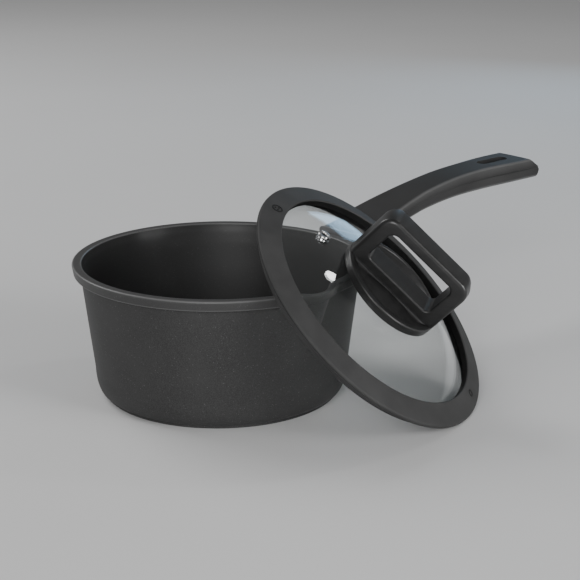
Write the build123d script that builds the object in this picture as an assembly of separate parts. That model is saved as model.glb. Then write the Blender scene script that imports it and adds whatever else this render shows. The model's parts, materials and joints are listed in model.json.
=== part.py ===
from build123d import *
from math import cos, radians, sin, sqrt
import os

# 18 cm saucepan of cast aluminium with a loose glass lid that leans on its rim.
# Millimetres, +Z up. The origin is the centre of the pan's base, on the table.
# +X runs along the handle. The pouring spout points to -Y.

# --- pan body -------------------------------------------------------------
RIM_R = 96.0            # outer radius of the rim band
RIM_MOUTH_R = 89.8      # inner radius at the mouth
RIM_TOP = 88.2          # height of the pan
BAND_BOTTOM = 81.4      # underside of the thicker rim band
WALL_TOP_R = 90.7       # outer radius of the wall just under the band
WALL_LOW_R = 83.2       # outer radius where the wall meets the corner curve
WALL_LOW_Z = 18.0
WALL = 3.1              # wall thickness
FLOOR = 5.0             # floor thickness
FOOT_R = 77.5           # flat foot that stands on the hob
FOOT_H = 2.4
FOOT_EDGE = 0.8         # small chamfer and step at the foot
CORNER_MID = (81.7, 8.4)    # middle of the outer corner curve
CORNER_IN_R = 12.0      # rounding between the floor and the wall, inside
RIM_ROUND = 0.9
MOUTH_LOW_Z = 74.0      # where the mouth starts to open out, inside
CLEAR = 300.0           # side of the blocks that only cut, larger than the pan

# --- pouring spout --------------------------------------------------------
SPOUT_OUT = 4.2         # how far the spout stands out past the rim band
SPOUT_HALF_W = 19.0     # half width of the spout's cone at the rim
SPOUT_DEPTH_R = 17.0    # radial half depth of the cone at the rim
SPOUT_LOW_Z = 47.0      # where the cone runs out into the wall
SPOUT_LOW_R = 3.0       # radius of the cone where it runs out
SPOUT_OVER = 14.0       # the cone is drawn this far past the rim, then cut
SPOUT_DIP = 1.8         # how far the lip dips at the spout
SPOUT_LIP = 34.0        # radial length of the cut that dips the lip

# --- induction plate ------------------------------------------------------
PLATE_R = 66.0
PLATE_T = 1.0

# --- handle joint ---------------------------------------------------------
BOSS_START = 70.0       # inside the pan, before the boss is trimmed to the wall
BOSS_END = 104.0        # outer face of the cast boss
BOSS_HALF_W = 17.0
BOSS_BOTTOM = 66.5
BOSS_TOP = 85.5
BOSS_ROUND = 5.0
BOSS_SUNK = 1.5         # how far the boss and the tang run into the wall
GUARD_T = 3.0           # steel flame guard between the boss and the grip
GUARD_PROUD = 0.5       # the guard stands this much out past the grip
GUARD_ROUND = 3.0
TANG_TILT = 20.0        # the tang climbs with the handle
TANG_LENGTH = 34.0
TANG_W = 16.0
TANG_T = 7.0
TANG_ROOT = (96.0, 75.4)
SCREW_ALONG = 24.5      # distance of the handle screw along the tang
SCREW_SHANK = 10.4
SCREW_HEAD_R = 4.4
SCREW_HEAD_T = 3.0
SCREW_FACE = -3.9       # underside of the washer, where the screw's head sits
RECESS_W = 1.1          # cross recess in the head
RECESS_L = 5.0
RECESS_DEEP = 1.3
HANDLE_WASHER_R = 5.0
HANDLE_WASHER_T = 1.3
POCKET_R = 5.6          # pocket for the head and washer, up to the washer's seat
POCKET_LOW = -25.4
POCKET_HIGH = -2.6

# --- handle grip ----------------------------------------------------------
GRIP_START = BOSS_END + GUARD_T
GRIP_END = 292.4        # tip of the grip
GRIP_TIP_Z = 109.6      # height of the tip, where the end's chamfer starts
GRIP_NOSE = (291.4, 102.0)  # lower corner of the end, as (x, z)
GRIP_CHAMFER = (281.0, 117.7)   # where the chamfer reaches the top
GRIP_SECTIONS = (       # distance from the pan's axis, half width, top, bottom
    (GRIP_START, 20.0, 88.8, 68.6),
    (120.0, 19.6, 92.9, 74.0),
    (133.0, 18.7, 97.1, 82.4),
    (147.0, 17.5, 101.2, 88.2),
    (161.0, 15.9, 105.1, 91.9),
    (177.0, 14.4, 109.0, 95.1),
    (205.0, 13.7, 113.8, 98.8),
    (235.0, 14.0, 116.3, 100.5),
    (262.0, 16.1, 117.0, 101.6),
    (GRIP_END + 1.6, 16.4, 117.3, 102.2),
)
GRIP_GROOVE = 1.6       # depth of the groove along each side
GRIP_UNDER = 3.0        # height and width of the corners under the grip
SLOT_X = 257.0          # centre of the hanging slot
SLOT_L = 29.0
SLOT_W = 9.5

# --- lid, in its own frame: z = 0 at the outer top edge of the silicone ring
DOME_R = 190.0          # radius of the glass dome, outside
DOME_TOP = 16.4         # top of the glass above the ring's outer edge
GLASS_T = 3.5
GLASS_EDGE_R = 84.5
RING_R = 94.0           # outer radius of the silicone ring
RING_INNER_R = 78.9
RING_CROWN = 4.44       # the ring's inner edge stands this much above its outer edge
RING_SEAT = 2.6         # depth of the outer edge, down to the seat on the pan's rim
PLUG_R = 88.0           # plug lip that centres the lid in the mouth

# --- knob, in the lid's frame, its long side along X ----------------------
KNOB_R = 36.6
KNOB_T = 20.4           # thickness of the upright frame
KNOB_LOW = 10.0         # below the knob, before its underside is hollowed
KNOB_EDGE_R = 1.6
KNOB_FOOT_EDGE_R = 1.4
KNOB_STEP = 0.8         # the frame's faces overhang the foot by this much
KNOB_TOP = 56.4
KNOB_CORNER_R = 9.0
KNOB_FOOT = 18.6        # bottom edge of the frame's front and back faces
KNOB_RIM_W = 3.2        # raised rim round the two finger dishes
KNOB_RIM_TOP = 19.6
DISH_FLOOR = 17.7
DISH_CROWN = 0.9        # how much the dishes rise towards the middle
GASKET_T = 0.8
GASKET_R = 30.0
WINDOW_HALF_L = 27.3
WINDOW_LOW = 24.2
WINDOW_HIGH = 50.0
WINDOW_CORNER_R = 5.0

# --- lid hardware ---------------------------------------------------------
SCREW_R = 2.5           # M5
KNOB_HOLE_R = 4.0       # hole in the glass
INSERT_R = 3.6
INSERT_LOW = 17.6
INSERT_HIGH = 22.8
SEAL_R = 9.0
SEAL_T = 1.5
WASHER_R = 8.0
WASHER_T = 1.2
HEAD_R = 4.6
HEAD_T = 3.0
HEAD_EDGE_R = 1.2
HEAD_RECESS_L = 5.4
HEAD_RECESS_W = 1.2
HEAD_RECESS_DEEP = 1.7
INSERT_CAP = 0.6        # brass left above the insert's thread
VENT_AT = -52.2         # place of the steam vent along the knob's long side
VENT_HOLE_R = 2.1
VENT_BARREL_R = 3.0
VENT_FLANGE_R = 4.2
VENT_FLANGE_T = 1.8
VENT_FLANGE_EDGE_R = 1.0
COLLAR_T = 1.2          # ring that clamps the eyelet under the glass

# --- the lid at rest: its lowest edge stands on the table and the glass
# --- leans on the rim beside the spout ------------------------------------
LID_TILT = 44.84        # angle of the lid's axis from the vertical
LID_AZIMUTH = -63.7     # heading of the lid's axis, from +X
LID_TURN = -78.5        # turn of the knob about the lid's axis
LID_X = 54.0
LID_Y = -88.4
TABLE_GAP = 0.1


def lid_plane():
    """Plane of the lid at rest, with its Z along the lid's axis."""
    lean = radians(LID_TILT)
    head = radians(LID_AZIMUTH)
    height = RING_R * sin(lean) + RING_SEAT * cos(lean) + TABLE_GAP
    axis = Vector(sin(lean) * cos(head), sin(lean) * sin(head), cos(lean))
    level = Vector(-sin(head), cos(head), 0)
    along = level.rotate(Axis((0, 0, 0), axis), LID_TURN)
    return Plane(origin=(LID_X, LID_Y, height), x_dir=along, z_dir=axis)


def on_pan(shape):
    """Place a lid piece as the lid lies at rest."""
    return lid_plane().location * shape


def turned(points):
    """Solid of revolution about Z from a closed outline of (radius, height)."""
    with BuildPart() as part:
        with BuildSketch(Plane.XZ):
            with BuildLine():
                Polyline(*points, close=True)
            make_face()
        revolve(axis=Axis.Z)
    return part.part


def ball(radius, top):
    """Solid ball whose highest point is at the height top."""
    return Pos(0, 0, top - radius) * Sphere(radius)


def disc(radius, low, high):
    """Round disc about Z between two heights."""
    return Pos(0, 0, (low + high) / 2) * Cylinder(radius, high - low)


def dome_height(radius):
    """Height of the glass's outer surface at a radius."""
    return DOME_TOP - DOME_R + sqrt(DOME_R**2 - radius**2)


def spout_cone(inset):
    """Leaning cone of the spout, made smaller all round by the inset."""
    grow = (RIM_TOP + SPOUT_OVER - SPOUT_LOW_Z) / (RIM_TOP - SPOUT_LOW_Z)
    slope = (WALL_TOP_R - WALL_LOW_R) / (BAND_BOTTOM - WALL_LOW_Z)
    low_centre = WALL_LOW_R + slope * (SPOUT_LOW_Z - WALL_LOW_Z) - SPOUT_LOW_R
    rim_centre = RIM_R + SPOUT_OUT - SPOUT_DEPTH_R
    high_depth = SPOUT_LOW_R + (SPOUT_DEPTH_R - SPOUT_LOW_R) * grow
    high_half_w = SPOUT_LOW_R + (SPOUT_HALF_W - SPOUT_LOW_R) * grow
    high_centre = low_centre + (rim_centre - low_centre) * grow
    low_r = SPOUT_LOW_R - 0.8 * inset
    low = Plane((0, -low_centre, SPOUT_LOW_Z)) * Ellipse(low_r, low_r)
    high = Plane((0, -high_centre, RIM_TOP + SPOUT_OVER)) * Ellipse(high_half_w - inset, high_depth - inset)
    return loft([low, high])


def tang():
    """Flat bar that carries the handle, climbing from the boss."""
    bar = Box(TANG_LENGTH, TANG_W, TANG_T, align=(Align.MIN, Align.CENTER, Align.CENTER))
    return Pos(TANG_ROOT[0], 0, TANG_ROOT[1]) * Rot(0, -TANG_TILT, 0) * bar


def handle_screw_axis():
    """Frame of the handle screw: Z climbs through the tang, the origin is on its underside."""
    lean = radians(TANG_TILT)
    x = TANG_ROOT[0] + SCREW_ALONG * cos(lean) + TANG_T / 2 * sin(lean)
    z = TANG_ROOT[1] + SCREW_ALONG * sin(lean) - TANG_T / 2 * cos(lean)
    return Pos(x, 0, z) * Rot(0, -TANG_TILT, 0)


def wall_section():
    """Half section of the pan without its spout and boss."""
    inner_high = (WALL_TOP_R - WALL, MOUTH_LOW_Z)
    inner_low = (WALL_LOW_R - WALL, FLOOR + CORNER_IN_R)
    floor_edge = (inner_low[0] - CORNER_IN_R, FLOOR)
    bend = 1 - cos(radians(45))
    corner_mid = (inner_low[0] - bend * CORNER_IN_R, FLOOR + bend * CORNER_IN_R)
    rim_mid = (RIM_R - bend * RIM_ROUND, RIM_TOP - bend * RIM_ROUND)
    foot_step = (FOOT_R + FOOT_EDGE, FOOT_H)
    with BuildSketch(Plane.XZ) as section:
        with BuildLine():
            Polyline((0, FLOOR), (0, 0), (FOOT_R - FOOT_EDGE, 0), (FOOT_R, FOOT_EDGE))
            Polyline((FOOT_R, FOOT_EDGE), (FOOT_R, FOOT_H), foot_step)
            ThreePointArc(foot_step, CORNER_MID, (WALL_LOW_R, WALL_LOW_Z))
            Line((WALL_LOW_R, WALL_LOW_Z), (WALL_TOP_R, BAND_BOTTOM))
            Line((WALL_TOP_R, BAND_BOTTOM), (RIM_R - RIM_ROUND, BAND_BOTTOM + RIM_ROUND / 2))
            Line((RIM_R - RIM_ROUND, BAND_BOTTOM + RIM_ROUND / 2), (RIM_R, RIM_TOP - RIM_ROUND))
            ThreePointArc((RIM_R, RIM_TOP - RIM_ROUND), rim_mid, (RIM_R - RIM_ROUND, RIM_TOP))
            Line((RIM_R - RIM_ROUND, RIM_TOP), (RIM_MOUTH_R + RIM_ROUND, RIM_TOP))
            Line((RIM_MOUTH_R + RIM_ROUND, RIM_TOP), (RIM_MOUTH_R, RIM_TOP - RIM_ROUND))
            Line((RIM_MOUTH_R, RIM_TOP - RIM_ROUND), inner_high)
            Line(inner_high, inner_low)
            ThreePointArc(inner_low, corner_mid, floor_edge)
            Line(floor_edge, (0, FLOOR))
        make_face()
    return section.sketch


def spout_dip():
    """Shallow round cut that lowers the lip at the spout."""
    radius = (SPOUT_HALF_W**2 + SPOUT_DIP**2) / (2 * SPOUT_DIP)
    roller = Pos(0, -RIM_R, RIM_TOP - SPOUT_DIP + radius) * Rot(90, 0, 0) * Cylinder(radius, SPOUT_LIP)
    return roller & Pos(0, -RIM_R, RIM_TOP) * Box(2 * SPOUT_HALF_W, SPOUT_LIP, 4 * SPOUT_DIP)


def inside_of_wall(sunk):
    """Everything within the outer surface of the wall, less a skin of the thickness sunk."""
    return turned([
        (0, 0),
        (WALL_LOW_R - sunk, 0),
        (WALL_LOW_R - sunk, WALL_LOW_Z),
        (WALL_TOP_R - sunk, BAND_BOTTOM),
        (RIM_R - sunk, RIM_TOP),
        (0, RIM_TOP),
    ])


def pan_body():
    """Cast pan: wall, rim band, spout, boss and tang in one piece."""
    body = revolve(wall_section(), Axis.Z)
    above = Pos(0, 0, RIM_TOP + CLEAR / 2) * Box(CLEAR, CLEAR, CLEAR)
    mouth_z = RIM_TOP + SPOUT_OVER
    inside = turned([(0, FLOOR), (RIM_R - 20, FLOOR), (RIM_MOUTH_R - 4, mouth_z), (0, mouth_z)])
    spout = spout_cone(0) - above - inside_of_wall(WALL + 0.5)
    body = body + spout - spout_cone(WALL) - inside - spout_dip()
    boss_centre = Pos((BOSS_END + BOSS_START) / 2, 0, (BOSS_TOP + BOSS_BOTTOM) / 2)
    boss = boss_centre * Box(BOSS_END - BOSS_START, 2 * BOSS_HALF_W, BOSS_TOP - BOSS_BOTTOM)
    boss = fillet(boss.edges().filter_by(Axis.X), BOSS_ROUND)
    body = body + (boss + tang() - inside_of_wall(BOSS_SUNK))
    thread = handle_screw_axis() * (Pos(0, 0, TANG_T / 2) * Cylinder(SCREW_R, TANG_T))
    return body - disc(PLATE_R, 0, PLATE_T) - thread


def base_plate():
    """Steel disc let into the base, so that the pan works on an induction hob."""
    return disc(PLATE_R, 0, PLATE_T)


def grip_section(x, half_w, top, bottom):
    """Cross-section of the grip: flat top, grooved sides and a narrower underside."""
    height = top - bottom
    half = [
        (half_w - GRIP_GROOVE, top),
        (half_w, top - GRIP_GROOVE),
        (half_w - GRIP_GROOVE, top - 0.4 * height),
        (half_w - GRIP_GROOVE, bottom + 0.4 * height),
        (half_w - 0.5, bottom + GRIP_UNDER),
        (half_w - GRIP_UNDER, bottom),
    ]
    outline = half + [(-y, z) for y, z in reversed(half)]
    plane = Plane(origin=(x, 0, 0), x_dir=(0, 1, 0), z_dir=(1, 0, 0))
    return plane * make_face(Polyline(*outline, close=True))


def flame_guard():
    """Steel collar that keeps the flame's heat off the grip."""
    _, half_w, top, bottom = GRIP_SECTIONS[0]
    plate = Box(GUARD_T, 2 * (half_w + GUARD_PROUD), top - bottom + 2 * GUARD_PROUD)
    plate = Pos(BOSS_END + GUARD_T / 2, 0, (top + bottom) / 2) * plate
    return fillet(plate.edges().filter_by(Axis.X), GUARD_ROUND) - tang()


def handle_grip():
    """Moulded grip with a hanging slot, a socket for the tang and a pocket for the screw."""
    grip = loft([grip_section(*section) for section in GRIP_SECTIONS])
    side = make_face(Polyline(
        (GRIP_START - 10, 50), (GRIP_NOSE[0], 50), GRIP_NOSE, (GRIP_END, GRIP_TIP_Z), GRIP_CHAMFER,
        (GRIP_START - 10, 150), close=True))
    grip = grip & extrude(Plane.XZ * side, 40, both=True)
    slot = extrude(Pos(SLOT_X, 0, BOSS_TOP) * SlotOverall(SLOT_L, SLOT_W), 60)
    pocket = disc(POCKET_R, POCKET_LOW, POCKET_HIGH) + disc(SCREW_R + 0.3, POCKET_LOW, 1)
    return grip - slot - tang() - handle_screw_axis() * pocket


def handle_screw():
    """Pan-head screw that holds the grip on the tang."""
    shank = disc(SCREW_R, SCREW_FACE, SCREW_FACE + SCREW_SHANK)
    head = disc(SCREW_HEAD_R, SCREW_FACE - SCREW_HEAD_T, SCREW_FACE)
    cross = Box(RECESS_L, RECESS_W, 2 * RECESS_DEEP) + Box(RECESS_W, RECESS_L, 2 * RECESS_DEEP)
    return handle_screw_axis() * (shank + head - Pos(0, 0, SCREW_FACE - SCREW_HEAD_T) * cross)


def handle_washer():
    """Steel washer under the handle screw's head."""
    high = SCREW_FACE + HANDLE_WASHER_T
    return handle_screw_axis() * (disc(HANDLE_WASHER_R, SCREW_FACE, high) - disc(SCREW_R, SCREW_FACE, high))


def vent_frame():
    """Frame on the glass at the steam vent, its Z square to the dome."""
    height = dome_height(abs(VENT_AT))
    normal = Vector(VENT_AT, 0, height - (DOME_TOP - DOME_R)).normalized()
    along = Vector(normal.Z, 0, -normal.X)
    return Plane(origin=(VENT_AT, 0, height), x_dir=along, z_dir=normal).location


def pane():
    """Domed disc of glass without its holes."""
    dome = ball(DOME_R, DOME_TOP) - ball(DOME_R - GLASS_T, DOME_TOP - GLASS_T)
    return dome & disc(GLASS_EDGE_R, -2 * DOME_TOP, 2 * DOME_TOP)


def lid_glass():
    """Domed pane with holes for the knob and the vent."""
    return pane() - disc(KNOB_HOLE_R, 0, 2 * DOME_TOP) - vent_frame() * Cylinder(VENT_BARREL_R, DOME_TOP)


def silicone_rim():
    """Soft ring round the glass: sloping top, seat for the pan's rim and a plug lip."""
    ring = turned([
        (RING_INNER_R, RING_CROWN - 0.5),
        (RING_INNER_R + 0.6, RING_CROWN - 0.1),
        (RING_R - 1.0, 0.25),
        (RING_R, -0.5),
        (RING_R, -RING_SEAT),
        (PLUG_R + 1.2, -RING_SEAT),
        (PLUG_R + 0.6, -3.4),
        (PLUG_R, -8.2),
        (GLASS_EDGE_R, -8.7),
        (81.6, -7.0),
        (81.0, -3.0),
        (RING_INNER_R, -2.0),
    ])
    return ring - pane()


def vent_grommet():
    """Polished eyelet that lets steam out."""
    flange = Pos(0, 0, VENT_FLANGE_T / 2) * Cylinder(VENT_FLANGE_R, VENT_FLANGE_T)
    flange = fillet(flange.edges().filter_by(GeomType.CIRCLE).sort_by(Axis.Z)[-1], VENT_FLANGE_EDGE_R)
    flange = flange - ball(DOME_R, 0)
    barrel = disc(VENT_BARREL_R, -GLASS_T - COLLAR_T, COLLAR_T)
    return vent_frame() * (flange + barrel - Cylinder(VENT_HOLE_R, DOME_TOP))


def vent_collar():
    """Ring that clamps the eyelet from under the glass."""
    ring = disc(VENT_FLANGE_R, -GLASS_T - COLLAR_T, -GLASS_T) & ball(DOME_R - GLASS_T, -GLASS_T)
    return vent_frame() * (ring - Cylinder(VENT_BARREL_R, DOME_TOP))


def knob_body():
    """Round knob cut away on two sides to an upright frame with a window."""
    height = KNOB_TOP - KNOB_LOW
    slab = Pos(0, 0, KNOB_LOW + height / 2) * Box(2 * KNOB_R + 1, KNOB_T, height)
    slab = fillet(slab.edges().filter_by(Axis.Y).sort_by(Axis.Z)[-2:], KNOB_CORNER_R)
    slab = fillet(slab.faces().sort_by(Axis.Z)[-1].edges().filter_by(Axis.X), KNOB_EDGE_R)
    frame = slab & disc(KNOB_R, KNOB_FOOT, KNOB_TOP)
    plinth = Pos(0, 0, KNOB_FOOT / 2) * Box(2 * KNOB_R - 3, KNOB_T - 2 * KNOB_STEP, KNOB_FOOT)
    plinth = plinth & disc(KNOB_R, KNOB_LOW, KNOB_FOOT)
    foot = disc(KNOB_R, KNOB_LOW, KNOB_RIM_TOP)
    foot = fillet(foot.edges().filter_by(GeomType.CIRCLE).sort_by(Axis.Z)[-1], KNOB_FOOT_EDGE_R)
    dish = turned([
        (0, DISH_FLOOR + DISH_CROWN),
        (12, DISH_FLOOR + DISH_CROWN),
        (24, DISH_FLOOR),
        (29, DISH_FLOOR),
        (KNOB_R - KNOB_RIM_W, KNOB_RIM_TOP),
        (KNOB_R - KNOB_RIM_W, KNOB_TOP),
        (0, KNOB_TOP),
    ])
    window = Box(2 * WINDOW_HALF_L, 3 * KNOB_T, WINDOW_HIGH - WINDOW_LOW)
    window = Pos(0, 0, (WINDOW_LOW + WINDOW_HIGH) / 2) * window
    window = fillet(window.edges().filter_by(Axis.Y), WINDOW_CORNER_R)
    under = ball(DOME_R + GASKET_T, DOME_TOP + GASKET_T)
    body = (foot - dish) + plinth + frame
    return body - window - under - disc(INSERT_R, 0, INSERT_HIGH)


def knob_insert():
    """Threaded brass insert moulded into the knob."""
    return disc(INSERT_R, INSERT_LOW, INSERT_HIGH) - disc(SCREW_R, 0, INSERT_HIGH - INSERT_CAP)


def knob_gasket():
    """Thin silicone pad between the knob and the glass."""
    pad = ball(DOME_R + GASKET_T, DOME_TOP + GASKET_T) - ball(DOME_R, DOME_TOP)
    return (pad & disc(GASKET_R, 0, KNOB_TOP)) - disc(KNOB_HOLE_R, 0, KNOB_TOP)


def knob_seal():
    """Silicone washer under the glass, with a sleeve that lines the hole."""
    under = ball(DOME_R - GLASS_T, DOME_TOP - GLASS_T)
    low = DOME_TOP - GLASS_T - SEAL_T
    sleeve = disc(KNOB_HOLE_R, low, DOME_TOP)
    return (disc(SEAL_R, low, DOME_TOP) & under) + sleeve - disc(SCREW_R, 0, KNOB_TOP)


def knob_washer():
    """Steel washer under the knob screw's head."""
    high = DOME_TOP - GLASS_T - SEAL_T
    return disc(WASHER_R, high - WASHER_T, high) - disc(SCREW_R, 0, KNOB_TOP)


def knob_screw():
    """Machine screw that clamps the knob to the glass from below."""
    head_top = DOME_TOP - GLASS_T - SEAL_T - WASHER_T
    head = disc(HEAD_R, head_top - HEAD_T, head_top)
    head = fillet(head.edges().filter_by(GeomType.CIRCLE).sort_by(Axis.Z)[0], HEAD_EDGE_R)
    deep = 2 * HEAD_RECESS_DEEP
    cross = Box(HEAD_RECESS_L, HEAD_RECESS_W, deep) + Box(HEAD_RECESS_W, HEAD_RECESS_L, deep)
    cross = Pos(0, 0, head_top - HEAD_T) * cross
    return head + disc(SCREW_R, head_top, INSERT_HIGH - INSERT_CAP) - cross


PAN_PIECES = {
    "pan_body": pan_body,
    "base_plate": base_plate,
    "flame_guard": flame_guard,
    "handle_grip": handle_grip,
    "handle_screw": handle_screw,
    "handle_washer": handle_washer,
}
LID_PIECES = {
    "lid_glass": lid_glass,
    "silicone_rim": silicone_rim,
    "vent_grommet": vent_grommet,
    "vent_collar": vent_collar,
    "knob_body": knob_body,
    "knob_insert": knob_insert,
    "knob_gasket": knob_gasket,
    "knob_seal": knob_seal,
    "knob_washer": knob_washer,
    "knob_screw": knob_screw,
}

os.makedirs("parts", exist_ok=True)
for name, make in PAN_PIECES.items():
    export_step(make(), f"parts/{name}.step")
for name, make in LID_PIECES.items():
    export_step(on_pan(make()), f"parts/{name}.step")
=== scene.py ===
"""Looks of an 18 cm saucepan whose glass lid leans on its rim.

The pan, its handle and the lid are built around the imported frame. Lengths are in millimetres
inside the classes and become metres when a mesh is placed.
"""
import json
import logging
import math
from dataclasses import dataclass, field
from enum import Enum
from functools import partialmethod
from typing import Any, Callable, Iterable, Sequence

import bmesh
import bpy
from mathutils import Matrix, Vector


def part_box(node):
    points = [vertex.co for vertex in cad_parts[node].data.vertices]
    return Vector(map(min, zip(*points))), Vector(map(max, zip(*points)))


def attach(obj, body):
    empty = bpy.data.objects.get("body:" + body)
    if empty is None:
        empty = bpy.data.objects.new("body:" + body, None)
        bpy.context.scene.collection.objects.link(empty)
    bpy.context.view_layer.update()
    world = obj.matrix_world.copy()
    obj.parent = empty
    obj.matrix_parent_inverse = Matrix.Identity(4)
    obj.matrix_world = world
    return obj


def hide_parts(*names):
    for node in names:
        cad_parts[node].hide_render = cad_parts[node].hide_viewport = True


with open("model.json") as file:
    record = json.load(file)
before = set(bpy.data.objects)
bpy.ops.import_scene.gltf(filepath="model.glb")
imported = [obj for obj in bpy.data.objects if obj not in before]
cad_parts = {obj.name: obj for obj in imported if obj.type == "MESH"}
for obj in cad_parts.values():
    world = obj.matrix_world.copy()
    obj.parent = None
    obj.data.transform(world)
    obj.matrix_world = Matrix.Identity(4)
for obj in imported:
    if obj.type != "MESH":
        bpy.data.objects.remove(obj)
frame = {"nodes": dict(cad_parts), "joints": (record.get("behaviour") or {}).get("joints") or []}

LOG = logging.getLogger("saucepan")
MM = 0.001
Point2 = tuple[float, float]
Colour = tuple[float, float, float, float]
Object = bpy.types.Object
Material = bpy.types.Material
Socket = bpy.types.NodeSocket
Edge = bmesh.types.BMEdge


class Body(Enum):
    """The two rigid bodies of the frame."""

    PAN = "pan"
    LID = "lid"


class Slot(Enum):
    """Material slots of the pieces that are built here."""

    COATING = "cast_coating"
    GRIP = "grip_plastic"
    GLASS = "lid_glass"
    RIM = "rim_silicone"
    CHROME = "vent_chrome"
    KNOB = "knob_plastic"


# ---- shader maths


class Value:
    """A number that varies over a surface: an output socket with arithmetic."""

    def __init__(self, shader: "Shader", socket: Socket) -> None:
        """Wraps a socket of one shader."""
        self.shader = shader
        self.socket = socket

    def _join(self, operation: str, reflected: bool, other: Any) -> "Value":
        """Adds a Math node that joins the value with another, which comes first if reflected."""
        terms = (other, self) if reflected else (self, other)
        made = self.shader.node("ShaderNodeMath", {"operation": operation}, dict(enumerate(terms)))
        return Value(self.shader, made.outputs[0])

    __add__ = partialmethod(_join, "ADD", False)
    __radd__ = partialmethod(_join, "ADD", True)
    __sub__ = partialmethod(_join, "SUBTRACT", False)
    __rsub__ = partialmethod(_join, "SUBTRACT", True)
    __mul__ = partialmethod(_join, "MULTIPLY", False)
    __rmul__ = partialmethod(_join, "MULTIPLY", True)

    def step(self, low: float, high: float) -> "Value":
        """Rises smoothly from 0 at low to 1 at high.

        Args:
            low: The value that gives 0.
            high: The value that gives 1.

        Returns:
            The eased value, held within 0 and 1.
        """
        made = self.shader.node("ShaderNodeMapRange", {"interpolation_type": "SMOOTHSTEP"},
                                {"Value": self, "From Min": low, "From Max": high})
        return Value(self.shader, made.outputs["Result"])


class Shader:
    """Node tree of one material, with the few node recipes that the finishes share."""

    def __init__(self, name: str) -> None:
        """Starts an empty material of that name."""
        self.material = bpy.data.materials.new(name)
        self.material.use_nodes = True
        self.tree = self.material.node_tree
        self.tree.nodes.clear()
        self.place = self.node("ShaderNodeTexCoord").outputs["Object"]

    def node(self, kind: str, settings: dict[str, Any] | None = None,
             inputs: dict[str | int, Any] | None = None) -> bpy.types.Node:
        """Adds one node.

        Args:
            kind: The node's type.
            settings: Its properties, set first.
            inputs: Values or links of its sockets, by name or number.

        Returns:
            The new node.
        """
        made = self.tree.nodes.new(kind)
        for key, value in (settings or {}).items():
            setattr(made, key, value)
        for key, value in (inputs or {}).items():
            source = value.socket if isinstance(value, Value) else value
            if isinstance(source, Socket):
                self.tree.links.new(source, made.inputs[key])
            else:
                made.inputs[key].default_value = source
        return made

    def stretched(self, scale: Sequence[float], turn: Sequence[float] = (0, 0, 0)) -> Socket:
        """Object coordinates turned and then scaled along each axis."""
        inputs = {"Vector": self.place, "Rotation": turn, "Scale": scale}
        return self.node("ShaderNodeMapping", {}, inputs).outputs["Vector"]

    def noise(self, scale: float, detail: float = 2.0, roughness: float = 0.5,
              vector: Socket | None = None) -> Value:
        """Soft noise from 0 to 1.

        Args:
            scale: Lumps per metre.
            detail: Octaves of finer noise.
            roughness: Strength of the finer octaves.
            vector: Coordinates, or None for the object's own.

        Returns:
            The noise.
        """
        made = self.node("ShaderNodeTexNoise", {}, {"Vector": vector or self.place, "Scale": scale,
                                                    "Detail": detail, "Roughness": roughness})
        return Value(self, made.outputs[0])

    def grains(self, scale: float) -> Value:
        """Distance to the nearest of many scattered points, for flecks and pits."""
        made = self.node("ShaderNodeTexVoronoi", {}, {"Vector": self.place, "Scale": scale})
        return Value(self, made.outputs["Distance"])

    def attribute(self, name: str) -> Value:
        """A number painted on the mesh."""
        made = self.node("ShaderNodeAttribute", {"attribute_name": name})
        return Value(self, made.outputs["Fac"])

    def blend(self, amount: Value, low: Any, high: Any) -> Socket:
        """Colour between low and high by an amount."""
        made = self.node("ShaderNodeMix", {"data_type": "RGBA"}, {0: amount, 6: low, 7: high})
        return made.outputs[2]

    def bump(self, height: Value, depth: float, strength: float = 1.0) -> Socket:
        """Normal of a relief whose full height is depth, in metres."""
        inputs = {"Height": height, "Distance": depth, "Strength": strength}
        return self.node("ShaderNodeBump", {}, inputs).outputs["Normal"]

    def surface(self, inputs: dict[str | int, Any]) -> Material:
        """Ends the tree in one principled surface.

        Args:
            inputs: Values or links of the principled shader's sockets.

        Returns:
            The finished material.
        """
        made = self.node("ShaderNodeBsdfPrincipled", {}, inputs)
        self.node("ShaderNodeOutputMaterial", {}, {"Surface": made.outputs[0]})
        return self.material


def grey(tone: float) -> Colour:
    """Neutral colour of a linear tone."""
    return (tone, tone, tone, 1.0)


# ---- finishes


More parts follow.
